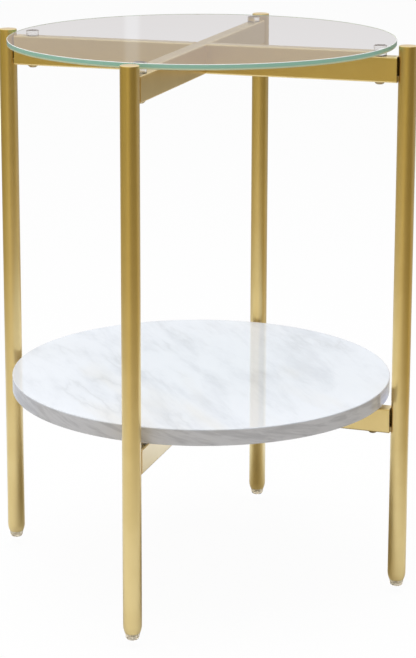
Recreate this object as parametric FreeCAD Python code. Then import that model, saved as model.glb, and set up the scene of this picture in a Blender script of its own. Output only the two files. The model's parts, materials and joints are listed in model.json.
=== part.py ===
import FreeCAD, Part
import math
import os
from collections import namedtuple

# A round side table: a clear glass top and a stone shelf, each on a cross of rectangular tubes
# between four round legs. Millimetres, +Z up, the origin on the floor under the centre.
# Every piece that repeats at the legs is drawn on the right-hand spoke, along +X, and turned.

V = FreeCAD.Vector
AXIS = V(0, 0, 1)
FULL_TURN = 360.0
SPOKES = {"right": 0.0, "back": 90.0, "left": 180.0, "front": 270.0}

# Plates
TABLE_HEIGHT = 610.0
GLASS_DIAMETER = 428.0
GLASS_THICKNESS = 6.0
GLASS_ARRIS = 0.7
SHELF_DIAMETER = 428.0
SHELF_THICKNESS = 18.0
SHELF_ARRIS = 1.0
SHELF_HEIGHT = 229.0

# Legs: round tubes outside the plates, closed by a cap and rolled in at the foot
LEG_GAP = 7.4
LEG_DIAMETER = 20.0
LEG_WALL = 1.2
CAP_THICKNESS = 2.0
CAP_EDGE_RADIUS = 0.9
CAP_SPIGOT_LENGTH = 8.0
ROLLED_LENGTH = 9.0
ROLLED_INSET = 1.8

# Levelling feet: a clear glide on a stud that screws into a bush in the leg
GLIDE_HEIGHT = 7.5
GLIDE_SETBACK = 0.2
GLIDE_TAPER = 0.8
GLIDE_EDGE_RADIUS = 1.8
STUD_DIAMETER = 8.0
STUD_SOCKET_DEPTH = 4.0
STUD_SPARE = 4.0
BUSH_LENGTH = 12.0

# Bars: rectangular tubes that form the two crosses
BAR_WIDTH = 16.0
BAR_HEIGHT = 28.0
BAR_WALL = 1.5
BAR_CORNER = 2.0
BAR_END_GAP = 0.3

# Tongues on the legs, which the bar ends slip over
TONGUE_LENGTH = 36.0
TONGUE_THICKNESS = 6.0
TONGUE_CORNER = 1.0
TONGUE_SIDE_GAP = 0.3
WELD_GAP = 0.1

# Screws that hold the bar ends on the tongues
SCREW_INSET = 20.0
SCREW_DIAMETER = 6.0
SCREW_LENGTH = 10.0
SCREW_HEAD_DIAMETER = 12.0
SCREW_HEAD_HEIGHT = 2.8
SCREW_HEAD_FLAT_DIAMETER = 7.0
SCREW_SOCKET_WIDTH = 4.0
SCREW_SOCKET_DEPTH = 1.8

# Bumper pads between the bars and the plates, set in from the edge of the plate
PAD_INSET = 12.9
PAD_DIAMETER = 14.0
GLASS_PAD_HEIGHT = 6.0
SHELF_PAD_HEIGHT = 4.0
PAD_EDGE_RADIUS = 0.8
PAD_STEM_DIAMETER = 5.0
PAD_STEM_LENGTH = 5.5

# Clearances: parts that move in each other, parts that are fixed, and how far cuts run over
RUNNING_CLEARANCE = 0.3
FIT_CLEARANCE = 0.15
LEAST_CORNER = 0.3
CUT_OVERRUN = 5.0

# Places that follow from the sizes
LEG_RADIUS = LEG_DIAMETER / 2
BORE_RADIUS = LEG_RADIUS - LEG_WALL
LEG_CENTRE = max(GLASS_DIAMETER, SHELF_DIAMETER) / 2 + LEG_GAP + LEG_RADIUS
BAR_END = LEG_CENTRE - LEG_RADIUS - BAR_END_GAP
SCREW_CENTRE = BAR_END - SCREW_INSET
ROLLED_TOP = GLIDE_HEIGHT + ROLLED_LENGTH
MOUTH_RADIUS = LEG_RADIUS - ROLLED_INSET
BUSH_TOP = ROLLED_TOP + BUSH_LENGTH
GLASS_UNDERSIDE = TABLE_HEIGHT - GLASS_THICKNESS
SHELF_UNDERSIDE = SHELF_HEIGHT - SHELF_THICKNESS
GLASS_PAD_CENTRE = GLASS_DIAMETER / 2 - PAD_INSET
SHELF_PAD_CENTRE = SHELF_DIAMETER / 2 - PAD_INSET
UPPER_BAR_TOP = GLASS_UNDERSIDE - GLASS_PAD_HEIGHT
LOWER_BAR_TOP = SHELF_UNDERSIDE - SHELF_PAD_HEIGHT

# A tier is a plate on its pads on a cross of bars
Tier = namedtuple("Tier", "name plate bar_top pad_height pad_centre")
TIERS = [
    Tier("upper", "glass", UPPER_BAR_TOP, GLASS_PAD_HEIGHT, GLASS_PAD_CENTRE),
    Tier("lower", "shelf", LOWER_BAR_TOP, SHELF_PAD_HEIGHT, SHELF_PAD_CENTRE),
]


def profile(start, *steps):
    """A face in the XZ plane, closed back to its start: a step is a point, or an arc's middle and end."""
    edges = []
    here = start
    for step in (*steps, start):
        if isinstance(step, tuple):
            middle, end = step
            edges.append(Part.Arc(here, middle, end).toShape())
        else:
            end = step
            edges.append(Part.LineSegment(here, end).toShape())
        here = end
    return Part.Face(Part.Wire(edges))


def lathe(face):
    """Turns a face of the XZ plane about the Z axis."""
    return face.revolve(V(0, 0, 0), AXIS, FULL_TURN)


def round_top(radius, top, edge):
    """An arc step from the side of a turned piece, one edge radius below its top, on to the top."""
    lean = edge * (1 - math.sqrt(2) / 2)
    return (V(radius - lean, 0, top - lean), V(radius - edge, 0, top))


def upright_pin(x, radius, z_from, z_to):
    """A round pin that stands on the spoke, x from the centre of the table."""
    return Part.makeCylinder(radius, z_to - z_from, V(x, 0, z_from), AXIS)


def rounded_bar(x_from, x_to, width, z_from, z_to, corner):
    """A bar along X with rounded long edges."""
    box = Part.makeBox(x_to - x_from, width, z_to - z_from, V(x_from, -width / 2, z_from))
    long_edges = [edge for edge in box.Edges if edge.BoundBox.XLength > edge.BoundBox.DiagonalLength / 2]
    return box.makeFillet(corner, long_edges)


def rectangular_tube(x_from, x_to, width, z_from, z_to, wall, corner):
    """A rounded bar with a bore that is open at both ends."""
    outside = rounded_bar(x_from, x_to, width, z_from, z_to, corner)
    inner_corner = max(corner - wall, LEAST_CORNER)
    bore = rounded_bar(
        x_from - CUT_OVERRUN, x_to + CUT_OVERRUN, width - 2 * wall, z_from + wall, z_to - wall, inner_corner
    )
    return outside.cut(bore)


def glass_top():
    """A round plate with a flat ground edge between two arrises."""
    radius = GLASS_DIAMETER / 2
    return lathe(
        profile(
            V(0, 0, GLASS_UNDERSIDE),
            V(radius - GLASS_ARRIS, 0, GLASS_UNDERSIDE),
            V(radius, 0, GLASS_UNDERSIDE + GLASS_ARRIS),
            V(radius, 0, TABLE_HEIGHT - GLASS_ARRIS),
            V(radius - GLASS_ARRIS, 0, TABLE_HEIGHT),
            V(0, 0, TABLE_HEIGHT),
        )
    )


def marble_shelf():
    """A round slab with softly rounded arrises."""
    slab = Part.makeCylinder(SHELF_DIAMETER / 2, SHELF_THICKNESS, V(0, 0, SHELF_UNDERSIDE), AXIS)
    rims = [edge for edge in slab.Edges if edge.Closed]
    return slab.makeFillet(SHELF_ARRIS, rims)


def leg_tube():
    """A round tube whose foot is rolled in along an arc that leaves the side of the tube smoothly."""
    top = TABLE_HEIGHT - CAP_THICKNESS
    roll_radius = (ROLLED_INSET**2 + ROLLED_LENGTH**2) / (2 * ROLLED_INSET)
    half_sweep = math.asin(ROLLED_LENGTH / roll_radius) / 2
    middle_inset = roll_radius * (1 - math.cos(half_sweep))
    middle_z = ROLLED_TOP - roll_radius * math.sin(half_sweep)
    mouth_bore = MOUTH_RADIUS - LEG_WALL
    tube = lathe(
        profile(
            V(LEG_RADIUS, 0, top),
            V(LEG_RADIUS, 0, ROLLED_TOP),
            (V(LEG_RADIUS - middle_inset, 0, middle_z), V(MOUTH_RADIUS, 0, GLIDE_HEIGHT)),
            V(mouth_bore, 0, GLIDE_HEIGHT),
            (V(BORE_RADIUS - middle_inset, 0, middle_z), V(BORE_RADIUS, 0, ROLLED_TOP)),
            V(BORE_RADIUS, 0, top),
        )
    )
    return at_leg(tube)


def leg_cap():
    """A disc with a rounded rim, set on the tube by a short spigot."""
    seat = TABLE_HEIGHT - CAP_THICKNESS
    spigot = BORE_RADIUS - FIT_CLEARANCE
    cap = lathe(
        profile(
            V(0, 0, seat - CAP_SPIGOT_LENGTH),
            V(spigot, 0, seat - CAP_SPIGOT_LENGTH),
            V(spigot, 0, seat),
            V(LEG_RADIUS, 0, seat),
            V(LEG_RADIUS, 0, TABLE_HEIGHT - CAP_EDGE_RADIUS),
            round_top(LEG_RADIUS, TABLE_HEIGHT, CAP_EDGE_RADIUS),
            V(0, 0, TABLE_HEIGHT),
        )
    )
    return at_leg(cap)


def foot_bush():
    """A threaded bush that stands in the leg on top of its rolled end."""
    bush = Part.makeCylinder(BORE_RADIUS - FIT_CLEARANCE, BUSH_LENGTH, V(0, 0, ROLLED_TOP), AXIS)
    hole = Part.makeCylinder(
        STUD_DIAMETER / 2 + RUNNING_CLEARANCE,
        BUSH_LENGTH + 2 * CUT_OVERRUN,
        V(0, 0, ROLLED_TOP - CUT_OVERRUN),
        AXIS,
    )
    return at_leg(bush.cut(hole))


def foot_stud():
    """The stud that is moulded into the glide and passes through the mouth of the leg into the bush."""
    bottom = GLIDE_HEIGHT - STUD_SOCKET_DEPTH
    length = BUSH_TOP + STUD_SPARE - bottom
    return at_leg(Part.makeCylinder(STUD_DIAMETER / 2, length, V(0, 0, bottom), AXIS))


def foot_glide():
    """A clear disc that narrows to a rounded edge on the floor, with a socket for the stud."""
    radius = MOUTH_RADIUS - GLIDE_SETBACK
    floor_radius = radius - GLIDE_TAPER
    socket_radius = STUD_DIAMETER / 2 + FIT_CLEARANCE
    socket_floor = GLIDE_HEIGHT - STUD_SOCKET_DEPTH
    lean = GLIDE_EDGE_RADIUS * (1 - math.sqrt(2) / 2)
    glide = lathe(
        profile(
            V(0, 0, 0),
            V(floor_radius - GLIDE_EDGE_RADIUS, 0, 0),
            (V(floor_radius - lean, 0, lean), V(floor_radius, 0, GLIDE_EDGE_RADIUS)),
            V(radius, 0, GLIDE_HEIGHT),
            V(socket_radius, 0, GLIDE_HEIGHT),
            V(socket_radius, 0, socket_floor),
            V(0, 0, socket_floor),
        )
    )
    return at_leg(glide)


def fixing_holes(tier):
    """The screw's hole in the lower wall and the pad's hole in the upper wall, near one bar end."""
    bar_bottom = tier.bar_top - BAR_HEIGHT
    middle = tier.bar_top - BAR_HEIGHT / 2
    screw_radius = SCREW_DIAMETER / 2 + FIT_CLEARANCE
    stem_radius = PAD_STEM_DIAMETER / 2 + FIT_CLEARANCE
    return [
        upright_pin(SCREW_CENTRE, screw_radius, bar_bottom - CUT_OVERRUN, middle),
        upright_pin(tier.pad_centre, stem_radius, middle, tier.bar_top + CUT_OVERRUN),
    ]


def bar(tier, x_from):
    """A bar of a cross from x_from to the leg, not drilled yet."""
    bar_bottom = tier.bar_top - BAR_HEIGHT
    return rectangular_tube(x_from, BAR_END, BAR_WIDTH, bar_bottom, tier.bar_top, BAR_WALL, BAR_CORNER)


def bar_long(tier):
    """The unbroken bar of a cross, with fixing holes at both ends, turned to run front to back."""
    holes = fixing_holes(tier)
    drilled = bar(tier, -BAR_END).cut(holes + [turned(hole, "left") for hole in holes])
    return turned(drilled, "back")


def bar_half(tier):
    """Half a bar, from the side of the long bar to its leg."""
    return bar(tier, BAR_WIDTH / 2).cut(fixing_holes(tier))


def tongue(tier):
    """A flat bar welded to the leg and coped to its round, on the lower wall of the bar that slips over it."""
    bar_bottom = tier.bar_top - BAR_HEIGHT
    bottom = bar_bottom + BAR_WALL
    width = BAR_WIDTH - 2 * (BAR_WALL + TONGUE_SIDE_GAP)
    inner_end = BAR_END - TONGUE_LENGTH
    blank = rounded_bar(inner_end, LEG_CENTRE, width, bottom, bottom + TONGUE_THICKNESS, TONGUE_CORNER)
    leg = upright_pin(LEG_CENTRE, LEG_RADIUS + WELD_GAP, bar_bottom, tier.bar_top)
    return blank.cut([leg, *fixing_holes(tier)])


def screw(tier):
    """A button-head screw that enters from below: a domed head with a hexagon socket, and a shank."""
    under_head = tier.bar_top - BAR_HEIGHT
    head_radius = SCREW_HEAD_DIAMETER / 2
    flat_radius = SCREW_HEAD_FLAT_DIAMETER / 2
    centre = (flat_radius**2 + SCREW_HEAD_HEIGHT**2 - head_radius**2) / (2 * SCREW_HEAD_HEIGHT)
    dome_radius = math.hypot(head_radius, centre)
    rim_angle = math.atan2(-centre, head_radius)
    flat_angle = math.atan2(SCREW_HEAD_HEIGHT - centre, flat_radius)
    middle = (rim_angle + flat_angle) / 2
    dome_middle = V(dome_radius * math.cos(middle), 0, under_head - centre - dome_radius * math.sin(middle))
    shank_radius = SCREW_DIAMETER / 2
    head_end = under_head - SCREW_HEAD_HEIGHT
    blank = lathe(
        profile(
            V(0, 0, under_head + SCREW_LENGTH),
            V(shank_radius, 0, under_head + SCREW_LENGTH),
            V(shank_radius, 0, under_head),
            V(head_radius, 0, under_head),
            (dome_middle, V(flat_radius, 0, head_end)),
            V(0, 0, head_end),
        )
    )
    socket = hexagon(SCREW_SOCKET_WIDTH, head_end - CUT_OVERRUN, head_end + SCREW_SOCKET_DEPTH)
    body = blank.cut(socket)
    body.translate(V(SCREW_CENTRE, 0, 0))
    return body


def hexagon(across_flats, z_from, z_to):
    """An upright six-sided prism about the Z axis."""
    sides = 6
    reach = across_flats / math.sqrt(3)
    angles = [2 * math.pi * corner / sides for corner in range(sides)]
    corners = [V(reach * math.cos(angle), reach * math.sin(angle), z_from) for angle in angles]
    face = Part.Face(Part.makePolygon([*corners, corners[0]]))
    return face.extrude(V(0, 0, z_to - z_from))


def pad(tier):
    """A clear bumper whose stem plugs into the top of the bar."""
    radius = PAD_DIAMETER / 2
    stem_radius = PAD_STEM_DIAMETER / 2
    foot = tier.bar_top
    top = foot + tier.pad_height
    bumper = lathe(
        profile(
            V(0, 0, foot - PAD_STEM_LENGTH),
            V(stem_radius, 0, foot - PAD_STEM_LENGTH),
            V(stem_radius, 0, foot),
            V(radius, 0, foot),
            V(radius, 0, top - PAD_EDGE_RADIUS),
            round_top(radius, top, PAD_EDGE_RADIUS),
            V(0, 0, top),
        )
    )
    bumper.translate(V(tier.pad_centre, 0, 0))
    return bumper


def at_leg(shape):
    """Moves a shape from the Z axis to the right-hand leg."""
    moved = shape.copy()
    moved.translate(V(LEG_CENTRE, 0, 0))
    return moved


def turned(shape, spoke):
    """Turns a shape from the right-hand spoke to another one."""
    copy = shape.copy()
    copy.rotate(V(0, 0, 0), AXIS, SPOKES[spoke])
    return copy


def save(node, shape):
    """Writes one piece to its file."""
    shape.exportStep(f"parts/{node}.step")


def save_at_spokes(name, shape):
    """Writes the four copies of a piece that repeats at the legs."""
    for spoke in SPOKES:
        save(f"{name}_{spoke}", turned(shape, spoke))


os.makedirs("parts", exist_ok=True)
save("glass_top", glass_top())
save("marble_shelf", marble_shelf())

save_at_spokes("leg_tube", leg_tube())
save_at_spokes("leg_cap", leg_cap())
save_at_spokes("foot_bush", foot_bush())
save_at_spokes("foot_stud", foot_stud())
save_at_spokes("foot_glide", foot_glide())

for tier in TIERS:
    half = bar_half(tier)
    save(f"{tier.name}_bar_long", bar_long(tier))
    save(f"{tier.name}_bar_half_right", half)
    save(f"{tier.name}_bar_half_left", turned(half, "left"))
    save_at_spokes(f"{tier.name}_tongue", tongue(tier))
    save_at_spokes(f"{tier.name}_screw", screw(tier))
    save_at_spokes(f"{tier.plate}_pad", pad(tier))
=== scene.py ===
"""The looks of a round side table: a clear glass top and a stone shelf on a satin gold frame.

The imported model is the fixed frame, and each piece here takes its place and main sizes from it.
Lengths are in metres, with +Z up and the origin on the floor under the middle of the table.
"""

import json
import logging
import math
from collections.abc import Iterable, Mapping, Sequence
from dataclasses import dataclass
from enum import Enum
from typing import Any, Optional, Union

import bmesh
import bpy
from mathutils import Matrix, Vector

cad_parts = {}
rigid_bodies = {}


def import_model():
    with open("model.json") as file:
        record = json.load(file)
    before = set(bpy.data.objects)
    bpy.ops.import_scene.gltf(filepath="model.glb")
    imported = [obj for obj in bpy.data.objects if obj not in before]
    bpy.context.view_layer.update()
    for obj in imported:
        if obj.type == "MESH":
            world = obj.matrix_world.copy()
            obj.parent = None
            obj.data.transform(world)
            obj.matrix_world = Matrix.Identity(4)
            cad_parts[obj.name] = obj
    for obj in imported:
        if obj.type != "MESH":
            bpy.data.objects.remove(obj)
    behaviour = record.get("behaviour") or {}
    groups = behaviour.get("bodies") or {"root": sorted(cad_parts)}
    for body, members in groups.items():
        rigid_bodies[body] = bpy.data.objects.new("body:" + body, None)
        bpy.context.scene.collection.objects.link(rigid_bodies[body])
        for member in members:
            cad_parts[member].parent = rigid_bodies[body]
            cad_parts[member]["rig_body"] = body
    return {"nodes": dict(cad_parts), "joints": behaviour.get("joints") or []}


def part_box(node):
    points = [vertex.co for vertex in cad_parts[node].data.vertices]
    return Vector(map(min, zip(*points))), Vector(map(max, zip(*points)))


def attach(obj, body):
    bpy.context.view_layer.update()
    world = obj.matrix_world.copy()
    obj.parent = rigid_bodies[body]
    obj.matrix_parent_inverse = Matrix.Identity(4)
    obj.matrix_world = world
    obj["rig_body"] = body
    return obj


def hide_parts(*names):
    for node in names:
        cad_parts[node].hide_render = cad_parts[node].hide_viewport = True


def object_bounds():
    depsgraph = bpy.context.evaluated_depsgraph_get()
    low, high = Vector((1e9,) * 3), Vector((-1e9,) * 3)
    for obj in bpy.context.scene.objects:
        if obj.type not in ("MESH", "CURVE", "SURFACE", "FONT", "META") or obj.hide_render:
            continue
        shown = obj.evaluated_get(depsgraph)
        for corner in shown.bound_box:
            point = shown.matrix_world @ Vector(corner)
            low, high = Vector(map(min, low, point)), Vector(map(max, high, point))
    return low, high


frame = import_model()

LOG = logging.getLogger("side_table")
CAD_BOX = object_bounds()

MM = 0.001
UP = (0.0, 0.0, 1.0)
FULL_TURN = 2 * math.pi
ROUND_PROFILE = 0.5
KEEP_MATERIAL = -1
WELD_DISTANCE = 0.001 * MM
SHARP_ANGLE = math.radians(40)

Colour = tuple[float, float, float, float]
Place = tuple[float, float, float]
Point = tuple[float, float]
Span = tuple[float, float]
Number = Union["Value", float]
Shape = bmesh.types.BMesh

WHITE: Colour = (1.0, 1.0, 1.0, 1.0)


class Spoke(Enum):
    """The four legs, named as seen from the front."""

    LEFT = "left"
    FRONT = "front"
    RIGHT = "right"
    BACK = "back"


class Tier(Enum):
    """The two levels, each with the plate that it carries."""

    UPPER = ("upper", "glass")
    LOWER = ("lower", "shelf")

    @property
    def level(self) -> str:
        """The word that the tier's bars, tongues and screws start with."""
        return self.value[0]

    @property
    def plate(self) -> str:
        """The word that the tier's pads start with."""
        return self.value[1]


class Slot(Enum):
    """The record's material slots."""

    GLASS = "glass"
    MARBLE = "marble"
    GOLD = "gold"
    CLEAR_PLASTIC = "clear_plastic"
    STEEL = "steel"


# Node sheets


@dataclass(frozen=True)
class Clouds:
    """The settings of a cloudy noise.

    Attributes:
        scale: Cells to the metre.
        detail: How many finer layers are added.
        roughness: How strong the finer layers are.
        distortion: How far the noise is stirred.
        edge: The noise where patches start, and where they are full.
    """

    scale: float
    detail: float = 2.0
    roughness: float = 0.5
    distortion: float = 0.0
    edge: Span = (0.0, 1.0)


class Value:
    """A number on a node sheet: arithmetic on it adds Math nodes."""

    def __init__(self, sheet: "NodeSheet", socket: bpy.types.NodeSocket) -> None:
        """Wraps an output socket of a node on the sheet."""
        self.sheet = sheet
        self.socket = socket

    def __add__(self, other: Number) -> "Value":
        """The sum of two numbers."""
        return self.sheet.math("ADD", self, other)

    def __radd__(self, other: Number) -> "Value":
        """The sum, with the plain number first."""
        return self.sheet.math("ADD", other, self)

    def __sub__(self, other: Number) -> "Value":
        """The difference of two numbers."""
        return self.sheet.math("SUBTRACT", self, other)

    def __rsub__(self, other: Number) -> "Value":
        """The difference, with the plain number first."""
        return self.sheet.math("SUBTRACT", other, self)

    def __mul__(self, other: Number) -> "Value":
        """The product of two numbers."""
        return self.sheet.math("MULTIPLY", self, other)

    def __rmul__(self, other: Number) -> "Value":
        """The product, with the plain number first."""
        return self.sheet.math("MULTIPLY", other, self)

    def __truediv__(self, other: Number) -> "Value":
        """The quotient of two numbers."""
        return self.sheet.math("DIVIDE", self, other)

    def __pow__(self, other: Number) -> "Value":
        """One number to the power of another."""
        return self.sheet.math("POWER", self, other)

    def __abs__(self) -> "Value":
        """The number without its sign."""
        return self.sheet.math("ABSOLUTE", self)

    def step(self, low: float, high: float) -> "Value":
        """A smooth step of this number.

        Args:
            low: Where the step starts, at 0.
            high: Where it ends, at 1.

        Returns:
            The step, held to 0 and 1 outside that range.
        """
        made = self.sheet.node(
            "ShaderNodeMapRange",
            {"interpolation_type": "SMOOTHSTEP"},
            {"Value": self, "From Min": low, "From Max": high},
        )
        return Value(self.sheet, made.outputs["Result"])


class NodeSheet:
    """A node tree that is written as Python."""

    MIX_FACTOR, MIX_FIRST, MIX_SECOND, MIX_RESULT = 0, 6, 7, 2

    def __init__(self, tree: bpy.types.NodeTree) -> None:
        """Empties the node tree of a material or of the world."""
        self.tree = tree
        tree.nodes.clear()

    def node(
        self,
        kind: str,
        settings: Optional[Mapping[str, Any]] = None,
        sockets: Optional[Mapping[Union[str, int], Any]] = None,
    ) -> bpy.types.Node:
        """Adds a node.

        Args:
            kind: Blender's name for the type of node.
            settings: Properties of the node, set first.
            sockets: Values or links of its inputs, by name or place.

        Returns:
            The new node.
        """
        made = self.tree.nodes.new(kind)
        for name, setting in (settings or {}).items():
            setattr(made, name, setting)
        for key, value in (sockets or {}).items():
            source = value.socket if isinstance(value, Value) else value
            if isinstance(source, bpy.types.NodeSocket):
                self.tree.links.new(source, made.inputs[key])
            else:
                made.inputs[key].default_value = source
        return made

    def math(self, operation: str, *terms: Number) -> Value:
        """Adds a Math node with these inputs, in order, and returns its result."""
        made = self.node("ShaderNodeMath", {"operation": operation}, dict(enumerate(terms)))
        return Value(self, made.outputs[0])

    def mix(self, factor: Number, first: Any, second: Any) -> bpy.types.NodeSocket:
        """Mixes two colours or links: a factor of 0 gives the first, and 1 the second."""
        sockets = {self.MIX_FACTOR: factor, self.MIX_FIRST: first, self.MIX_SECOND: second}
        return self.node("ShaderNodeMix", {"data_type": "RGBA"}, sockets).outputs[self.MIX_RESULT]

    def place(
        self, turn: Sequence[float] = (0, 0, 0), stretch: Sequence[float] = (1, 1, 1)
    ) -> bpy.types.NodeSocket:
        """The point on the piece, in metres.

        Args:
            turn: How far the pattern is turned about each axis, in radians.
            stretch: The pattern's scale along each axis, after the turn.

        Returns:
            The turned and scaled point.
        """
        place = self.node("ShaderNodeTexCoord").outputs["Object"]
        turned = self.node("ShaderNodeMapping", None, {"Vector": place, "Rotation": turn})
        scaled = self.node("ShaderNodeMapping", None, {"Vector": turned.outputs[0], "Scale": stretch})
        return scaled.outputs[0]

    def split(self, vector: bpy.types.NodeSocket) -> tuple[Value, Value, Value]:
        """The X, Y and Z parts of a vector."""
        parts = self.node("ShaderNodeSeparateXYZ", None, {0: vector}).outputs
        return Value(self, parts["X"]), Value(self, parts["Y"]), Value(self, parts["Z"])

    def measure(self, operation: str, place: bpy.types.NodeSocket, other: Place) -> Value:
        """A number that Vector Math draws from two vectors, such as their distance."""
        made = self.node("ShaderNodeVectorMath", {"operation": operation}, {0: place, 1: other})
        return Value(self, made.outputs["Value"])

    def noise(self, place: bpy.types.NodeSocket, clouds: Clouds) -> Value:
        """Cloudy noise about 0.5.

        Args:
            place: The point to read it at.
            clouds: Its settings.

        Returns:
            The noise, from about 0.2 to 0.8.
        """
        sockets = {
            "Vector": place,
            "Scale": clouds.scale,
            "Detail": clouds.detail,
            "Roughness": clouds.roughness,
            "Distortion": clouds.distortion,
        }
        return Value(self, self.node("ShaderNodeTexNoise", None, sockets).outputs[0])

    def patches(self, place: bpy.types.NodeSocket, clouds: Clouds) -> Value:
        """Patches cut out of a cloudy noise: 1 on them, 0 between them, and soft edges."""
        return self.noise(place, clouds).step(*clouds.edge)

    def bump(self, height: Value, strength: float, depth: float) -> bpy.types.NodeSocket:
        """A surface normal with fine relief, whose depth is in metres."""
        sockets = {"Strength": strength, "Distance": depth, "Height": height}
        return self.node("ShaderNodeBump", None, sockets).outputs[0]

    def ray(self, kind: str) -> Value:
        """1 for rays of one kind, as Light Path names them, and 0 for others."""
        return Value(self, self.node("ShaderNodeLightPath").outputs[kind])

    def straight(self) -> Value:
        """1 for rays that come from the camera, also through glass, and 0 for others and mirrored ones."""
        mirrored = self.math("MINIMUM", self.ray("Glossy Depth"), 1.0)
        through = self.ray("Is Transmission Ray") * (1.0 - mirrored)
        return self.math("MAXIMUM", self.ray("Is Camera Ray"), through)

    def shader(self, kind: str, sockets: Mapping[str, Any]) -> bpy.types.NodeSocket:
        """Adds a shader of one kind with these inputs and returns its output."""
        return self.node(f"ShaderNode{kind}", None, sockets).outputs[0]

    def blend(
        self, factor: Number, first: bpy.types.NodeSocket, second: bpy.types.NodeSocket
    ) -> bpy.types.NodeSocket:
        """Mixes two shaders: a factor of 0 gives the first, and 1 the second."""
        return self.node("ShaderNodeMixShader", None, {0: factor, 1: first, 2: second}).outputs[0]


class Paint(NodeSheet):
    """The node sheet of a new material."""

    def __init__(self, name: str) -> None:
        """Starts a material.

        Args:
            name: The material's name.
        """
        self.material = bpy.data.materials.new(name)
        self.material.use_nodes = True
        super().__init__(self.material.node_tree)

    def surface(self, sockets: Mapping[str, Any]) -> bpy.types.NodeSocket:
        """Adds a Principled shader with these inputs and returns its output."""
        return self.shader("BsdfPrincipled", sockets)

    def finish(self, **shaders: bpy.types.NodeSocket) -> bpy.types.Material:
        """Ends the sheet with these shaders on its output and returns the material."""
        self.node("ShaderNodeOutputMaterial", None, shaders)
        return self.material


# Finishes


@dataclass(frozen=True)
class SatinGold:
    """Gold-coloured plating on steel tube under a thin satin lacquer."""

    name: str = "satin_gold"
    pale: Colour = (0.95, 0.75, 0.36, 1.0)
    deep: Colour = (0.90, 0.70, 0.32, 1.0)
    smoothest: float = 0.28
    roughest: float = 0.38
    lacquer: float = 0.4
    lacquer_roughness: float = 0.3
    clouds: Clouds = Clouds(22.0, detail=3.0, edge=(0.3, 0.7))
    cloud_share: float = 0.6
    grain: Clouds = Clouds(2600.0, detail=1.0)
    grain_depth: float = 0.01 * MM
    grain_strength: float = 0.35

    def material(self) -> bpy.types.Material:
        """Makes the material."""
        paint = Paint(self.name)
        place = paint.place()
        cloud = paint.noise(place, self.clouds)
        grain = paint.noise(place, self.grain)
        spread = self.roughest - self.smoothest
        uneven = self.cloud_share * cloud + (1.0 - self.cloud_share) * grain
        gloss = paint.surface(
            {
                "Base Color": paint.mix(cloud.step(*self.clouds.edge), self.pale, self.deep),
                "Metallic": 1.0,
                "Roughness": self.smoothest + spread * uneven,
                "Coat Weight": self.lacquer,
                "Coat Roughness": self.lacquer_roughness,
                "Normal": paint.bump(grain, self.grain_strength, self.grain_depth),
            }
        )
        return paint.finish(Surface=gloss)


@dataclass(frozen=True)
class ClearGlass:
    """The clear faces of a float glass plate. The upper one mirrors, and the underside only bends light."""

    bend: float = 1.5
    tint: Colour = (0.955, 0.97, 0.995, 1.0)
    passed: Colour = (0.93, 0.95, 0.945, 1.0)
    smears: Clouds = Clouds(9.0, detail=4.0, edge=(0.45, 0.75))
    smear_roughness: float = 0.012

    def material(self) -> bpy.types.Material:
        """Makes the upper face's material."""
        paint = Paint("clear_glass")
        glass = paint.surface(
            {
                "Base Color": self.tint,
                "Roughness": self.wiped(paint),
                "IOR": self.bend,
                "Transmission Weight": 1.0,
            }
        )
        return paint.finish(Surface=self.lets_lamps_through(paint, glass))

    def underside(self) -> bpy.types.Material:
        """Makes the underside's material."""
        paint = Paint("clear_glass_underside")
        sockets = {"Color": self.tint, "Roughness": self.wiped(paint), "IOR": self.bend}
        glass = paint.shader("BsdfRefraction", sockets)
        return paint.finish(Surface=self.lets_lamps_through(paint, glass))

    def wiped(self, paint: Paint) -> Value:
        """The faint roughness of a wiped pane, on a material's sheet."""
        return self.smear_roughness * paint.patches(paint.place(), self.smears)

    def lets_lamps_through(self, paint: Paint, glass: bpy.types.NodeSocket) -> bpy.types.NodeSocket:
        """Opens glass to lamps, so that what lies under it is lit.

        Args:
            paint: The material's sheet.
            glass: The glass shader.

        Returns:
            The shader for the material's output.
        """
        open_way = paint.shader("BsdfTransparent", {"Color": self.passed})
        for kind in ("Is Shadow Ray", "Is Diffuse Ray"):
            glass = paint.blend(paint.ray(kind), glass, open_way)
        return glass


@dataclass(frozen=True)
class GlassEdge:
    """The ground rim of a glass plate: teal, with painted highlights: a near-white line along the polished
    top arris and a lighter green band over the lower part.
    """

    low: float
    high: float
    arris: float
    bend: float = 1.5
    # Painted highlights: a near-white line along the top arris and a lighter green band over the lower part
    # of the rim.
    top_line: Colour = (0.92, 0.97, 0.96, 1.0)
    top_line_shares: Span = (1.2, 0.4)
    middle: Colour = (0.41, 0.74, 0.58, 1.0)
    lower_line: Colour = (0.74, 0.86, 0.60, 1.0)
    lower_share: float = 0.36
    grind: Clouds = Clouds(700.0)
    smoothest: float = 0.05
    grind_roughness: float = 0.06
    grind_strength: float = 0.2
    grind_depth: float = 0.02 * MM

    def material(self) -> bpy.types.Material:
        """Makes the material."""
        paint = Paint("ground_glass_edge")
        place = paint.place()
        height = paint.split(place)[2]
        grind = paint.noise(place, self.grind)
        # Painted highlights: the lighter lower band, then the near-white line along the top arris.
        lower_top = self.low + self.lower_share * (self.high - self.low)
        below = 1.0 - height.step(lower_top - self.arris, lower_top)
        highlight_start, highlight_full = (self.high - share * self.arris for share in self.top_line_shares)
        colour = paint.mix(below, self.middle, self.lower_line)
        colour = paint.mix(height.step(highlight_start, highlight_full), colour, self.top_line)
        edge = paint.surface(
            {
                "Base Color": colour,
                "Roughness": self.smoothest + self.grind_roughness * grind,
                "IOR": self.bend,
                "Normal": paint.bump(grind, self.grind_strength, self.grind_depth),
            }
        )
        return paint.finish(Surface=edge)


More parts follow.
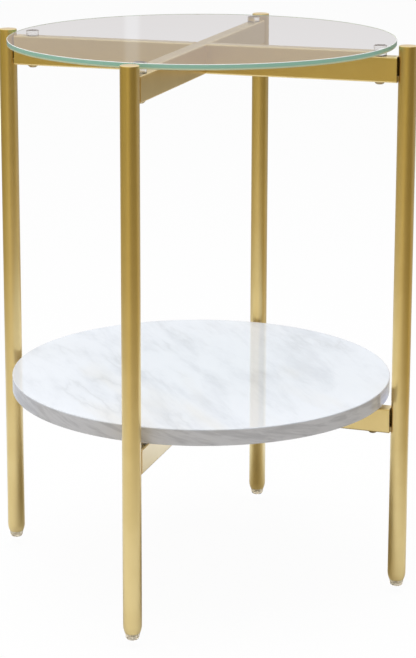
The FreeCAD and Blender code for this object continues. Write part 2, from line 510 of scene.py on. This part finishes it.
@dataclass(frozen=True)
class PolishedMarble:
    """White stone with faint grey bands and a few threads that run slantwise through the slab."""

    top: float
    bend: float = 1.5
    ground: Colour = (0.86, 0.89, 0.95, 1.0)
    band: Colour = (0.71, 0.74, 0.80, 1.0)
    thread: Colour = (0.50, 0.52, 0.55, 1.0)
    warm: Colour = (0.84, 0.81, 0.76, 1.0)
    # The rim's colours are darker than the top's ground: partly the cut streaks, and partly painted shade on
    # the upright rim, which the overhead light reaches less.
    rim_pale: Colour = (0.75, 0.745, 0.75, 1.0)
    rim_grey: Colour = (0.57, 0.565, 0.57, 1.0)
    slant: float = math.radians(54)
    tilt: float = math.radians(40)
    stretch: float = 0.2
    bands: Clouds = Clouds(32.0, detail=5.0, roughness=0.62, distortion=0.2, edge=(0.44, 0.74))
    threads: Clouds = Clouds(30.0, detail=5.0, roughness=0.55, distortion=0.15)
    thread_regions: Clouds = Clouds(8.0, edge=(0.44, 0.66))
    thread_sharpness: float = 12.0
    thread_share: float = 0.4
    warmth: Clouds = Clouds(15.0, detail=3.0, distortion=0.3, edge=(0.58, 0.76))
    warm_share: float = 0.5
    roughness: float = 0.02
    thread_roughness: float = 0.04
    rim_depths: Span = (1.6 * MM, 0.8 * MM)
    rim_share: float = 0.85
    rim_slant: float = math.radians(-14)
    rim_stretch: float = 7.0
    rim_streaks: Clouds = Clouds(24.0, detail=4.0, roughness=0.6, distortion=0.4, edge=(0.42, 0.66))

    def material(self) -> bpy.types.Material:
        """Makes the material."""
        paint = Paint("polished_marble")
        turn = Matrix.Rotation(self.tilt, 3, "X") @ Matrix.Rotation(self.slant, 3, "Z")
        along = paint.place(turn.to_euler(), (self.stretch, 1.0, self.stretch))
        ridges = 1.0 - abs(paint.noise(along, self.threads) * 2.0 - 1.0)
        threads = ridges**self.thread_sharpness * paint.patches(paint.place(), self.thread_regions)
        colour = paint.mix(paint.patches(along, self.bands), self.ground, self.band)
        colour = paint.mix(self.warm_share * paint.patches(along, self.warmth), colour, self.warm)
        colour = paint.mix(self.thread_share * threads, colour, self.thread)
        stone = paint.surface(
            {
                "Base Color": self.with_rim(paint, colour),
                "Roughness": self.roughness + self.thread_roughness * threads,
                "IOR": self.bend,
            }
        )
        return paint.finish(Surface=stone)

    def with_rim(self, paint: Paint, colour: bpy.types.NodeSocket) -> bpy.types.NodeSocket:
        """Greys the slab's rim, where soft streaks that lie along the slab are cut; the streaks are the
        stone's own, and the rim's overall grey, darker than the top, is painted shade.

        Args:
            paint: The material's sheet.
            colour: The colour of the whole slab.

        Returns:
            The colour, unchanged on the top face.
        """
        height = paint.split(paint.place())[2]
        rim_full, rim_start = (self.top - depth for depth in self.rim_depths)
        rim = 1.0 - height.step(rim_full, rim_start)
        along = paint.place((0.0, self.rim_slant, 0.0), (1.0, 1.0, self.rim_stretch))
        streaks = paint.patches(along, self.rim_streaks)
        return paint.mix(self.rim_share * rim, colour, paint.mix(streaks, self.rim_pale, self.rim_grey))


@dataclass(frozen=True)
class ClearPlastic:
    """Clear moulded plastic, milky and warm unless other values are given."""

    name: str = "milky_plastic"
    tint: Colour = (1.0, 0.93, 0.78, 1.0)
    bend: float = 1.46
    roughness: float = 0.65
    clearness: float = 0.75
    mould: Clouds = Clouds(900.0)
    mould_roughness: float = 0.08
    mould_strength: float = 0.2
    mould_depth: float = 0.02 * MM

    def material(self) -> bpy.types.Material:
        """Makes the material."""
        paint = Paint(self.name)
        mould = paint.noise(paint.place(), self.mould)
        plastic = paint.surface(
            {
                "Base Color": self.tint,
                "Roughness": self.roughness + self.mould_roughness * mould,
                "IOR": self.bend,
                "Transmission Weight": self.clearness,
                "Normal": paint.bump(mould, self.mould_strength, self.mould_depth),
            }
        )
        return paint.finish(Surface=plastic)


@dataclass(frozen=True)
class PlatedSteel:
    """Zinc-plated steel of the studs and bushes."""

    bright: Colour = (0.84, 0.84, 0.82, 1.0)
    dull: Colour = (0.70, 0.69, 0.67, 1.0)
    patches: Clouds = Clouds(300.0, detail=3.0, edge=(0.35, 0.65))
    smoothest: float = 0.28
    patch_roughness: float = 0.2

    def material(self) -> bpy.types.Material:
        """Makes the material."""
        paint = Paint("plated_steel")
        patches = paint.noise(paint.place(), self.patches)
        steel = paint.surface(
            {
                "Base Color": paint.mix(patches.step(*self.patches.edge), self.bright, self.dull),
                "Metallic": 1.0,
                "Roughness": self.smoothest + self.patch_roughness * patches,
            }
        )
        return paint.finish(Surface=steel)


@dataclass
class Finishes:
    """One material for each slot of the record, a darker gold, which on the tongues is painted shade, and a
    clearer plastic.
    """

    materials: dict[Slot, bpy.types.Material]
    dark_gold: bpy.types.Material
    clear_pad: bpy.types.Material

    @classmethod
    def make(cls) -> "Finishes":
        """Makes all the materials."""
        kinds = {
            Slot.GLASS: ClearGlass(),
            Slot.MARBLE: PolishedMarble(top=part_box("marble_shelf")[1].z),
            Slot.GOLD: SatinGold(),
            Slot.CLEAR_PLASTIC: ClearPlastic(),
            Slot.STEEL: PlatedSteel(),
        }
        # The darker gold: on the tongues it is painted shade, so that the gaps at the bar ends read dark.
        dark_gold = SatinGold("dark_gold", pale=(0.46, 0.34, 0.16, 1.0), deep=(0.36, 0.26, 0.12, 1.0))
        pad_tint = (0.985, 0.985, 0.98, 1.0)
        clear_pad = ClearPlastic("clear_plastic", tint=pad_tint, roughness=0.25, clearness=1.0)
        materials = {slot: kind.material() for slot, kind in kinds.items()}
        return cls(materials, dark_gold.material(), clear_pad.material())

    def dress(self, piece: bpy.types.Object, slot: Slot) -> None:
        """Gives a piece the material of a slot.

        Args:
            piece: A new piece or a CAD node.
            slot: The record's slot.
        """
        piece.data.materials.clear()
        piece.data.materials.append(self.materials[slot])

    def darken(self, piece: bpy.types.Object) -> None:
        """Gives a gold piece the darker gold, as on screws, and on the tongues as painted shade."""
        piece.data.materials[0] = self.dark_gold

    def clear(self, piece: bpy.types.Object) -> None:
        """Gives a plastic piece the clearer plastic, as on pads."""
        piece.data.materials[0] = self.clear_pad


# Shapes


def arc(centre: Point, radius: float, start: float, end: float, steps: int) -> list[Point]:
    """Points of an arc in an outline.

    Args:
        centre: The arc's centre, as distance from the axis and height.
        radius: Its radius.
        start: The angle of its first point, in degrees, from the outward direction towards up.
        end: The angle of its last point.
        steps: The number of chords.

    Returns:
        The points, both ends included.
    """
    angles = [math.radians(start + (end - start) * step / steps) for step in range(steps + 1)]
    return [(centre[0] + radius * math.cos(a), centre[1] + radius * math.sin(a)) for a in angles]


def turned(outline: Sequence[Point], steps: int) -> Shape:
    """Spins an outline about the Z axis.

    Args:
        outline: Points as distance from the axis and height.
        steps: Faces round the axis.

    Returns:
        The closed skin.
    """
    shape = bmesh.new()
    points = [shape.verts.new((reach, 0.0, height)) for reach, height in outline]
    lines = [shape.edges.new(pair) for pair in zip(points, points[1:])]
    bmesh.ops.spin(
        shape,
        geom=points + lines,
        cent=(0, 0, 0),
        axis=UP,
        angle=FULL_TURN,
        steps=steps,
        use_merge=True,
    )
    return sealed(shape)


def sealed(shape: Shape) -> Shape:
    """Merges doubled points and turns the faces outwards.

    Args:
        shape: A skin whose seams still lie open.

    Returns:
        The same skin, closed.
    """
    bmesh.ops.remove_doubles(shape, verts=shape.verts[:], dist=WELD_DISTANCE)
    bmesh.ops.recalc_face_normals(shape, faces=shape.faces[:])
    return shape


def bevelled(shape: Shape, edges: Iterable[bmesh.types.BMEdge], size: float, segments: int) -> None:
    """Rounds edges of a shape.

    Args:
        shape: The shape.
        edges: The edges to round.
        size: The radius.
        segments: Faces across the rounding.
    """
    bmesh.ops.bevel(
        shape,
        geom=list(edges),
        offset=size,
        affect="EDGES",
        segments=segments,
        profile=ROUND_PROFILE,
        material=KEEP_MATERIAL,
    )


def disc(radius: float, low: float, high: float, edge: float, sides: int, segments: int) -> Shape:
    """A round plate about the Z axis with rounded rims.

    Args:
        radius: Its radius.
        low: The height of its underside.
        high: The height of its top.
        edge: The radius of its rims.
        sides: Faces round it.
        segments: Faces across each rim.

    Returns:
        The plate.
    """
    shape = bmesh.new()
    bmesh.ops.create_cone(
        shape, cap_ends=True, segments=sides, radius1=radius, radius2=radius, depth=high - low
    )
    bmesh.ops.translate(shape, vec=(0, 0, (low + high) / 2), verts=shape.verts[:])
    caps = [face for face in shape.faces if len(face.verts) == sides]
    bevelled(shape, {line for face in caps for line in face.edges}, edge, segments)
    return shape


def middle_of(node: str) -> Vector:
    """The middle of a CAD node's box."""
    low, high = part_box(node)
    return (low + high) / 2


def present(
    name: str, shape: Shape, node: str, slot: Slot, finishes: Finishes, at: Optional[Vector] = None
) -> bpy.types.Object:
    """Makes a finished piece that stands for a CAD node and rides on its body.

    Args:
        name: The piece's name.
        shape: Its mesh, which is used up.
        node: The CAD node.
        slot: The record's slot that it takes its finish from.
        finishes: The materials.
        at: Where the shape's Z axis goes, if not through the origin.

    Returns:
        The piece.
    """
    if at is not None:
        bmesh.ops.translate(shape, vec=(at.x, at.y, 0.0), verts=shape.verts[:])
    mesh = bpy.data.meshes.new(name)
    shape.to_mesh(mesh)
    shape.free()
    mesh.shade_smooth()
    mesh.set_sharp_from_angle(angle=SHARP_ANGLE)
    piece = bpy.data.objects.new(name, mesh)
    bpy.context.scene.collection.objects.link(piece)
    even = piece.modifiers.new("even_shading", "WEIGHTED_NORMAL")
    even.keep_sharp = True
    finishes.dress(piece, slot)
    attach(piece, frame["nodes"][node]["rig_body"])
    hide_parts(node)
    LOG.info("%s stands for %s, %d faces", name, node, len(mesh.polygons))
    return piece


# Sub-assemblies


@dataclass
class Plates:
    """The glass top and the stone shelf."""

    sides: int = 256
    glass_arris: float = 0.7 * MM
    glass_segments: int = 2
    shelf_edge: float = 1.0 * MM
    shelf_segments: int = 4
    flat_normal: float = 0.99

    UNDERSIDE, RIM = 1, 2

    def build(self, finishes: Finishes) -> None:
        """Makes both plates.

        Args:
            finishes: The materials.
        """
        rounding = (self.glass_arris, self.glass_segments)
        glass = self.plate("glass_top", "clear_glass_plate", *rounding, Slot.GLASS, finishes)
        rounding = (self.shelf_edge, self.shelf_segments)
        self.plate("marble_shelf", "polished_stone_slab", *rounding, Slot.MARBLE, finishes)
        low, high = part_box("glass_top")
        glass.data.materials.append(ClearGlass().underside())
        glass.data.materials.append(GlassEdge(low.z, high.z, self.glass_arris).material())
        for face in glass.data.polygons:
            if abs(face.normal.z) < self.flat_normal:
                face.material_index = self.RIM
            elif face.normal.z < 0:
                face.material_index = self.UNDERSIDE

    def plate(
        self, node: str, name: str, edge: float, segments: int, slot: Slot, finishes: Finishes
    ) -> bpy.types.Object:
        """Makes one plate from its CAD node's box.

        Args:
            node: The CAD node.
            name: The piece's name.
            edge: The size of its rim's rounding.
            segments: Faces across that rounding.
            slot: The record's slot.
            finishes: The materials.

        Returns:
            The plate.
        """
        low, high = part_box(node)
        shape = disc((high.x - low.x) / 2, low.z, high.z, edge, self.sides, segments)
        return present(name, shape, node, slot, finishes)


@dataclass
class Leg:
    """A round tube, rolled in at the foot, with the disc that closes its top."""

    spoke: Spoke
    wall: float = 1.2 * MM
    rolled_length: float = 9.0 * MM
    rolled_inset: float = 1.8 * MM
    cap_edge: float = 0.9 * MM
    spigot_inset: float = 1.44 * MM
    sides: int = 72
    roll_steps: int = 10
    cap_steps: int = 4

    def build(self, finishes: Finishes) -> None:
        """Makes the tube and its cap.

        Args:
            finishes: The materials.
        """
        spoke = self.spoke.value
        tube = f"leg_tube_{spoke}"
        cap = f"leg_cap_{spoke}"
        centre = middle_of(tube)
        present(f"gold_leg_{spoke}", self.tube(*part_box(tube)), tube, Slot.GOLD, finishes, centre)
        present(f"gold_cap_{spoke}", self.cap(*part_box(cap)), cap, Slot.GOLD, finishes, centre)

    def tube(self, low: Vector, high: Vector) -> Shape:
        """Spins the tube's wall.

        Args:
            low: The lowest corner of the tube's box.
            high: The highest corner.

        Returns:
            The tube about the Z axis.
        """
        radius = (high.x - low.x) / 2
        inset, length = self.rolled_inset, self.rolled_length
        bend = (inset**2 + length**2) / (2 * inset)
        sweep = -math.degrees(math.asin(length / bend))
        top_of_roll = low.z + length
        outer = arc((radius - bend, top_of_roll), bend, 0, sweep, self.roll_steps)
        inner = [(reach - self.wall, height) for reach, height in reversed(outer)]
        outside = [(radius, high.z), *outer]
        inside = [*inner, (radius - self.wall, high.z), (radius, high.z)]
        return turned(outside + inside, self.sides)

    def cap(self, low: Vector, high: Vector) -> Shape:
        """Spins the disc on the leg's top, with its spigot.

        Args:
            low: The lowest corner of the cap's box.
            high: The highest corner.

        Returns:
            The cap about the Z axis.
        """
        radius = (high.x - low.x) / 2
        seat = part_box(f"leg_tube_{self.spoke.value}")[1].z
        spigot = radius - self.spigot_inset
        corner = (radius - self.cap_edge, high.z - self.cap_edge)
        rim = arc(corner, self.cap_edge, 0, 90, self.cap_steps)
        outline = [(0, low.z), (spigot, low.z), (spigot, seat), (radius, seat), *rim, (0, high.z)]
        return turned(outline, self.sides)


@dataclass
class LevellingFoot:
    """A clear glide on a threaded stud, and the bush in the leg that the stud screws into."""

    spoke: Spoke
    edge: float = 3.2 * MM
    taper: float = 0.8 * MM
    socket_depth: float = 4.0 * MM
    pitch: float = 1.25 * MM
    thread_depth: float = 0.7 * MM
    spare_turns: int = 2
    sides: int = 48
    edge_steps: int = 6

    def build(self, finishes: Finishes) -> None:
        """Makes the glide and the stud, and dresses the bush.

        Args:
            finishes: The materials.
        """
        spoke = self.spoke.value
        glide, stud = f"foot_glide_{spoke}", f"foot_stud_{spoke}"
        centre = middle_of(glide)
        plastic = Slot.CLEAR_PLASTIC
        present(f"clear_glide_{spoke}", self.glide(glide, stud), glide, plastic, finishes, centre)
        present(f"threaded_stud_{spoke}", self.stud(*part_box(stud)), stud, Slot.STEEL, finishes, centre)
        finishes.dress(frame["nodes"][f"foot_bush_{spoke}"], Slot.STEEL)

    def glide(self, glide: str, stud: str) -> Shape:
        """Spins the glide, which narrows to a rounded lower edge, with the stud's socket.

        Args:
            glide: The glide's CAD node.
            stud: The stud's CAD node.

        Returns:
            The glide about the Z axis.
        """
        low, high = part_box(glide)
        stud_low, stud_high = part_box(stud)
        radius = (high.x - low.x) / 2
        socket = (stud_high.x - stud_low.x) / 2
        corner = (radius - self.taper - self.edge, low.z + self.edge)
        lower = arc(corner, self.edge, -90, 0, self.edge_steps)
        outline = [
            (0, low.z),
            *lower,
            (radius, high.z),
            (socket, high.z),
            (socket, high.z - self.socket_depth),
            (0, high.z - self.socket_depth),
        ]
        return turned(outline, self.sides)

    def stud(self, low: Vector, high: Vector) -> Shape:
        """Winds the stud's thread and cuts it to length.

        Args:
            low: The lowest corner of the stud's box.
            high: The highest corner.

        Returns:
            The stud about the Z axis.
        """
        crest = (high.x - low.x) / 2
        root = crest - self.thread_depth
        turns = math.ceil((high.z - low.z) / self.pitch) + self.spare_turns
        start = low.z - self.pitch
        shape = bmesh.new()
        ridge = ((root, 0.0), (crest, self.pitch / 2), (root, self.pitch))
        points = [shape.verts.new((reach, 0.0, start + rise)) for reach, rise in ridge]
        lines = [shape.edges.new(pair) for pair in zip(points, points[1:])]
        bmesh.ops.spin(
            shape,
            geom=points + lines,
            cent=(0, 0, 0),
            axis=UP,
            dvec=(0, 0, self.pitch / self.sides),
            angle=FULL_TURN * turns,
            steps=self.sides * turns,
            use_merge=False,
        )
        bmesh.ops.remove_doubles(shape, verts=shape.verts[:], dist=WELD_DISTANCE)
        for height, way in ((low.z, -1.0), (high.z, 1.0)):
            bmesh.ops.bisect_plane(
                shape,
                geom=shape.verts[:] + shape.edges[:] + shape.faces[:],
                plane_co=(0, 0, height),
                plane_no=(0, 0, way),
                clear_outer=True,
            )
        rims = [line for line in shape.edges if line.is_boundary]
        bmesh.ops.holes_fill(shape, edges=rims, sides=0)
        return sealed(shape)


@dataclass
class Cross:
    """The cross of rectangular tubes under one plate, with its tongues, screws and pads."""

    tier: Tier
    wall: float = 1.5 * MM
    corner: float = 2.0 * MM
    corner_segments: int = 4
    round_sides: int = 48
    head_steps: int = 8
    socket_sides: int = 6
    pad_steps: int = 4
    head_height: float = 2.8 * MM
    shank_radius: float = 3.0 * MM
    flat_radius: float = 3.5 * MM
    socket_reach: float = 2.3 * MM
    socket_depth: float = 1.8 * MM
    pad_edge: float = 0.8 * MM
    stem_radius: float = 2.5 * MM

    def build(self, finishes: Finishes) -> None:
        """Makes the bars, screws and pads, and dresses the tongues.

        Args:
            finishes: The materials.
        """
        level, plate = self.tier.level, self.tier.plate
        for part in ("long", "half_left", "half_right"):
            node = f"{level}_bar_{part}"
            present(f"gold_{level}_bar_{part}", self.bar(*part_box(node)), node, Slot.GOLD, finishes)
        for spoke in (spoke.value for spoke in Spoke):
            screw, pad = f"{level}_screw_{spoke}", f"{plate}_pad_{spoke}"
            shape = self.screw(*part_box(screw))
            finishes.darken(present(f"gold_{screw}", shape, screw, Slot.GOLD, finishes, middle_of(screw)))
            shape = self.pad(*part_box(pad))
            plastic = Slot.CLEAR_PLASTIC
            finishes.clear(present(f"clear_{pad}", shape, pad, plastic, finishes, middle_of(pad)))
            tongue = frame["nodes"][f"{level}_tongue_{spoke}"]
            finishes.dress(tongue, Slot.GOLD)
            # Painted shade: the tongues take the darker gold so that where they show in the gaps at the bar
            # ends they read as shade.
            finishes.darken(tongue)

    def bar(self, low: Vector, high: Vector) -> Shape:
        """Makes a rectangular tube with rounded corners and open ends.

        Args:
            low: The lowest corner of the bar's box.
            high: The highest corner.

        Returns:
            The tube.
        """
        size = high - low
        run = 0 if size.x > size.y else 1
        shape = bmesh.new()
        bmesh.ops.create_cube(shape, size=1.0)
        bmesh.ops.scale(shape, vec=size, verts=shape.verts[:])
        bmesh.ops.translate(shape, vec=(low + high) / 2, verts=shape.verts[:])
        long_edges = [
            line
            for line in shape.edges
            if abs(line.verts[0].co[run] - line.verts[1].co[run]) > size[run] / 2
        ]
        bevelled(shape, long_edges, self.corner, self.corner_segments)
        ends = [face for face in shape.faces if abs(face.normal[run]) > math.cos(SHARP_ANGLE)]
        bmesh.ops.delete(shape, geom=ends, context="FACES_ONLY")
        bmesh.ops.recalc_face_normals(shape, faces=shape.faces[:])
        bmesh.ops.solidify(shape, geom=shape.faces[:], thickness=self.wall)
        return shape

    def screw(self, low: Vector, high: Vector) -> Shape:
        """Makes a button-head screw with a hexagon socket in its head, which points down.

        Args:
            low: The lowest corner of the screw's box.
            high: The highest corner.

        Returns:
            The screw about the Z axis.
        """
        radius = (high.x - low.x) / 2
        under = low.z + self.head_height
        drop = (self.flat_radius**2 + self.head_height**2 - radius**2) / (2 * self.head_height)
        dome = math.hypot(radius, drop)
        start = math.degrees(math.atan2(drop, radius))
        end = -math.degrees(math.atan2(self.head_height - drop, self.flat_radius))
        head = arc((0.0, under - drop), dome, start, end, self.head_steps)
        outline = [(0, high.z), (self.shank_radius, high.z), (self.shank_radius, under), *head]
        shape = turned(outline, self.round_sides)
        rim = [line for line in shape.edges if line.is_boundary]
        made = bmesh.ops.create_circle(
            shape,
            segments=self.socket_sides,
            radius=self.socket_reach,
            matrix=Matrix.Translation((0, 0, low.z)),
        )
        hexagon = list({line for point in made["verts"] for line in point.link_edges})
        bmesh.ops.bridge_loops(shape, edges=rim + hexagon)
        wall = bmesh.ops.extrude_edge_only(shape, edges=hexagon)["geom"]
        points = [part for part in wall if isinstance(part, bmesh.types.BMVert)]
        bmesh.ops.translate(shape, vec=(0, 0, self.socket_depth), verts=points)
        bmesh.ops.holes_fill(shape, edges=[line for line in shape.edges if line.is_boundary], sides=0)
        return sealed(shape)

    def pad(self, low: Vector, high: Vector) -> Shape:
        """Spins a bumper pad with its stem.

        Args:
            low: The lowest corner of the pad's box.
            high: The highest corner.

        Returns:
            The pad about the Z axis.
        """
        radius = (high.x - low.x) / 2
        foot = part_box(f"{self.tier.level}_bar_long")[1].z
        corner = (radius - self.pad_edge, high.z - self.pad_edge)
        rim = arc(corner, self.pad_edge, 0, 90, self.pad_steps)
        stem = self.stem_radius
        outline = [(0, low.z), (stem, low.z), (stem, foot), (radius, foot), *rim, (0, high.z)]
        return turned(outline, self.round_sides)


# Studio


@dataclass(frozen=True)
class PhotoCamera:
    """The camera, where a fit of the photograph's edges puts it. Pixels are those of a 416 by 658 frame."""

    azimuth: float = 17.986
    distance: float = 2.2086
    height: float = 0.8969
    pitch: float = 11.581
    roll: float = -0.083
    yaw: float = 0.947
    focal_pixels: float = 2018.39
    frame_pixels: float = 658.0
    sensor: float = 36.0
    shift: Point = (0.06, -0.22)

    def build(self) -> None:
        """Makes the camera and makes it the scene's."""
        azimuth, pitch, roll = (math.radians(a) for a in (self.azimuth, self.pitch, self.roll))
        heading = math.radians(self.azimuth + self.yaw)
        level = Vector((-math.sin(heading), math.cos(heading), 0.0))
        upright = Vector(UP)
        right = Vector((math.cos(heading), math.sin(heading), 0.0))
        ahead = level * math.cos(pitch) - upright * math.sin(pitch)
        above = upright * math.cos(pitch) + level * math.sin(pitch)
        side = right * math.cos(roll) + above * math.sin(roll)
        top = above * math.cos(roll) - right * math.sin(roll)
        place = Vector((self.distance * math.sin(azimuth), -self.distance * math.cos(azimuth), self.height))
        lens = bpy.data.cameras.new("photo_camera")
        lens.sensor_width = self.sensor
        lens.lens = self.focal_pixels * self.sensor / self.frame_pixels
        lens.shift_x, lens.shift_y = self.shift
        camera = bpy.data.objects.new("photo_camera", lens)
        turn = Matrix((side, top, -ahead)).transposed().to_4x4()
        camera.matrix_world = Matrix.Translation(place) @ turn
        bpy.context.scene.collection.objects.link(camera)
        bpy.context.scene.camera = camera


@dataclass(frozen=True)
class Softbox:
    """A flat lamp that faces a point of the table."""

    name: str
    place: Place
    width: float
    height: float
    power: float
    aim: Place = (0.0, 0.0, 0.35)

    def build(self) -> None:
        """Makes the lamp."""
        lamp = bpy.data.lights.new(self.name, "AREA")
        lamp.shape = "RECTANGLE"
        lamp.size, lamp.size_y = self.width, self.height
        lamp.energy = self.power
        softbox = bpy.data.objects.new(self.name, lamp)
        way = Vector(self.aim) - Vector(self.place)
        turn = way.to_track_quat("-Z", "Y").to_matrix().to_4x4()
        softbox.matrix_world = Matrix.Translation(self.place) @ turn
        softbox.visible_camera = False
        softbox.visible_glossy = False
        softbox.visible_transmission = False
        bpy.context.scene.collection.objects.link(softbox)


@dataclass(frozen=True)
class Floor:
    """The floor: white to the camera, and to mirrored rays pale near the table and warm further off, with a
    painted shadow under the table and a glowing patch that is a painted reflection.
    """

    radius: float = 9.0
    sides: int = 96
    shadow: float = 0.04
    plain: Colour = (0.74, 0.72, 0.70, 1.0)
    near: Colour = (0.79, 0.81, 0.82, 1.0)
    near_centre: Place = (-0.2, -0.15, 0.0)
    near_reach: Span = (0.45, 1.3)
    # Painted shadow: a darker, warmer patch where the shelf shades the floor under the table, seen by
    # mirrored rays.
    under: Colour = (0.60, 0.53, 0.34, 1.0)
    under_centre: Place = (0.04, 0.07, 0.0)
    under_reach: Span = (0.08, 0.32)
    left: Colour = (0.50, 0.41, 0.16, 1.0)
    right: Colour = (0.40, 0.31, 0.11, 1.0)
    left_to_right: Span = (-0.6, 0.8)
    front: Colour = (0.74, 0.60, 0.24, 1.0)
    front_side: float = -0.2
    front_reach: Span = (0.0, 0.75)
    beside: Colour = (0.62, 0.48, 0.16, 1.0)
    beside_side: Span = (0.5, 1.0)
    beside_depth: Span = (0.05, 0.4)
    back: Colour = (0.66, 0.62, 0.54, 1.0)
    back_depth: Span = (0.2, 1.6)
    sheet: Colour = (0.81, 0.88, 1.0, 1.0)
    sheet_way: Place = (-0.309, 0.951, 0.0)
    sheet_reach: Span = (0.12, 0.25)
    # Painted reflection: a bluish patch of the floor that glows for mirrored rays only and lights nothing
    # else.
    card: Colour = (0.62, 0.71, 1.0, 1.0)
    card_strength: float = 1.55
    card_centre: Place = (0.34, 0.5, 0.0)
    card_reach: Span = (0.12, 0.32)

    def build(self) -> None:
        """Makes the floor."""
        shape = bmesh.new()
        bmesh.ops.create_circle(shape, cap_ends=True, segments=self.sides, radius=self.radius)
        bmesh.ops.translate(shape, vec=(0, 0, self.level()), verts=shape.verts[:])
        mesh = bpy.data.meshes.new("floor")
        shape.to_mesh(mesh)
        shape.free()
        mesh.materials.append(self.material())
        floor = bpy.data.objects.new("floor", mesh)
        bpy.context.scene.collection.objects.link(floor)

    def level(self) -> float:
        """The height of the floor, where the feet end when they are screwed right out."""
        travel = max(joint["range_m"][1] for joint in frame["joints"] if joint["child"].startswith("foot_"))
        return CAD_BOX[0][2] - travel

    def material(self) -> bpy.types.Material:
        """Makes the floor's material, with a glowing patch, a painted reflection that only mirrored rays
        see.
        """
        paint = Paint("pale_floor")
        place = paint.node("ShaderNodeTexCoord").outputs["Object"]
        dull = paint.shader("BsdfDiffuse", {"Color": self.colour(paint, place)})
        # The glowing patch, a painted reflection seen by mirrored rays only.
        glow = paint.shader("Emission", {"Color": self.card, "Strength": self.card_strength})
        card = 1.0 - paint.measure("DISTANCE", place, self.card_centre).step(*self.card_reach)
        mirrored = paint.blend(card * paint.ray("Is Glossy Ray"), dull, glow)
        shaded = paint.shader("BsdfDiffuse", {"Color": WHITE})
        bright = paint.shader("Emission", {"Color": WHITE})
        seen = paint.blend(self.shadow, bright, shaded)
        return paint.finish(Surface=paint.blend(paint.straight(), mirrored, seen))

    def colour(self, paint: Paint, place: bpy.types.NodeSocket) -> bpy.types.NodeSocket:
        """Colours the floor for mirrored rays, and plainly for the light that it throws back.

        Args:
            paint: The floor's sheet.
            place: The point on the floor.

        Returns:
            The colour.
        """
        side, depth, _ = paint.split(place)
        away = paint.measure("DISTANCE", place, self.near_centre).step(*self.near_reach)
        # Painted shadow of the shelf on the floor under the table.
        under = 1.0 - paint.measure("DISTANCE", place, self.under_centre).step(*self.under_reach)
        behind = paint.measure("DOT_PRODUCT", place, self.sheet_way).step(*self.sheet_reach)
        ahead = 1.0 - abs(side - self.front_side).step(*self.front_reach)
        beside = side.step(*self.beside_side) * depth.step(*self.beside_depth)
        colour = paint.mix(side.step(*self.left_to_right), self.left, self.right)
        colour = paint.mix(ahead, colour, self.front)
        colour = paint.mix(beside, colour, self.beside)
        colour = paint.mix(depth.step(*self.back_depth), colour, self.back)
        colour = paint.mix(away, self.near, colour)
        colour = paint.mix(behind * (1.0 - away), colour, self.sheet)
        colour = paint.mix(under, colour, self.under)
        return paint.mix(paint.ray("Is Diffuse Ray"), colour, self.plain)


@dataclass(frozen=True)
class Surroundings:
    """The room: white to the camera, and to mirrored rays a warm front, pale walls and a pale ceiling."""

    front: Colour = (0.70, 0.57, 0.19, 1.0)
    front_left: Colour = (0.58, 0.47, 0.15, 1.0)
    front_right: Colour = (0.17, 0.135, 0.05, 1.0)
    front_side: float = 0.1
    front_reach: Span = (0.0, 0.55)
    left_to_right: Span = (-0.7, 0.7)
    back: Colour = (0.60, 0.54, 0.505, 1.0)
    back_depth: Span = (0.05, 0.75)
    back_top: Span = (0.19, 0.28)
    strip_side: float = -0.3634
    strip_reach: Span = (0.002, 0.006)
    strip_depth: Span = (0.0, 0.2)
    strip_share: float = 0.3
    ceiling: Colour = (0.93, 0.95, 1.0, 1.0)
    ceiling_height: Span = (0.2, 0.8)
    fill_left: Colour = (0.39, 0.39, 0.395, 1.0)
    fill_right: Colour = (0.25, 0.248, 0.25, 1.0)

    def build(self) -> None:
        """Makes the world, with a plain fill for matt surfaces."""
        world = bpy.data.worlds.new("studio")
        world.use_nodes = True
        bpy.context.scene.world = world
        sheet = NodeSheet(world.node_tree)
        side, depth, height = sheet.split(sheet.node("ShaderNodeTexCoord").outputs["Generated"])
        off_strip = abs(side / depth - self.strip_side)
        strip = (1.0 - off_strip.step(*self.strip_reach)) * depth.step(*self.strip_depth)
        back = sheet.mix(self.strip_share * strip, self.back, WHITE)
        back = sheet.mix(height.step(*self.back_top), back, self.ceiling)
        ahead = 1.0 - abs(side - self.front_side).step(*self.front_reach)
        colour = sheet.mix(side.step(*self.left_to_right), self.front_left, self.front_right)
        colour = sheet.mix(ahead, colour, self.front)
        colour = sheet.mix(depth.step(*self.back_depth), colour, back)
        colour = sheet.mix(height.step(*self.ceiling_height), colour, self.ceiling)
        fill = sheet.mix(side.step(*self.left_to_right), self.fill_left, self.fill_right)
        colour = sheet.mix(sheet.ray("Is Diffuse Ray"), colour, fill)
        colour = sheet.mix(sheet.straight(), colour, WHITE)
        sheet.node("ShaderNodeOutputWorld", None, {"Surface": sheet.shader("Background", {"Color": colour})})


@dataclass(frozen=True)
class Studio:
    """A pale floor in pale surroundings under one soft lamp."""

    floor: Floor = Floor()
    surroundings: Surroundings = Surroundings()
    lamp: Softbox = Softbox("overhead", place=(-0.1, -0.2, 2.6), width=2.4, height=2.4, power=60.0)

    def build(self) -> None:
        """Makes the studio and sets the plain view."""
        bpy.context.scene.view_settings.view_transform = "Standard"
        self.floor.build()
        self.surroundings.build()
        self.lamp.build()


def main() -> None:
    """Builds the studio and the table."""
    logging.basicConfig(level=logging.INFO)
    PhotoCamera().build()
    Studio().build()
    finishes = Finishes.make()
    Plates().build(finishes)
    for spoke in Spoke:
        Leg(spoke).build(finishes)
        LevellingFoot(spoke).build(finishes)
    for tier in Tier:
        Cross(tier).build(finishes)


if __name__ == "__main__":
    main()
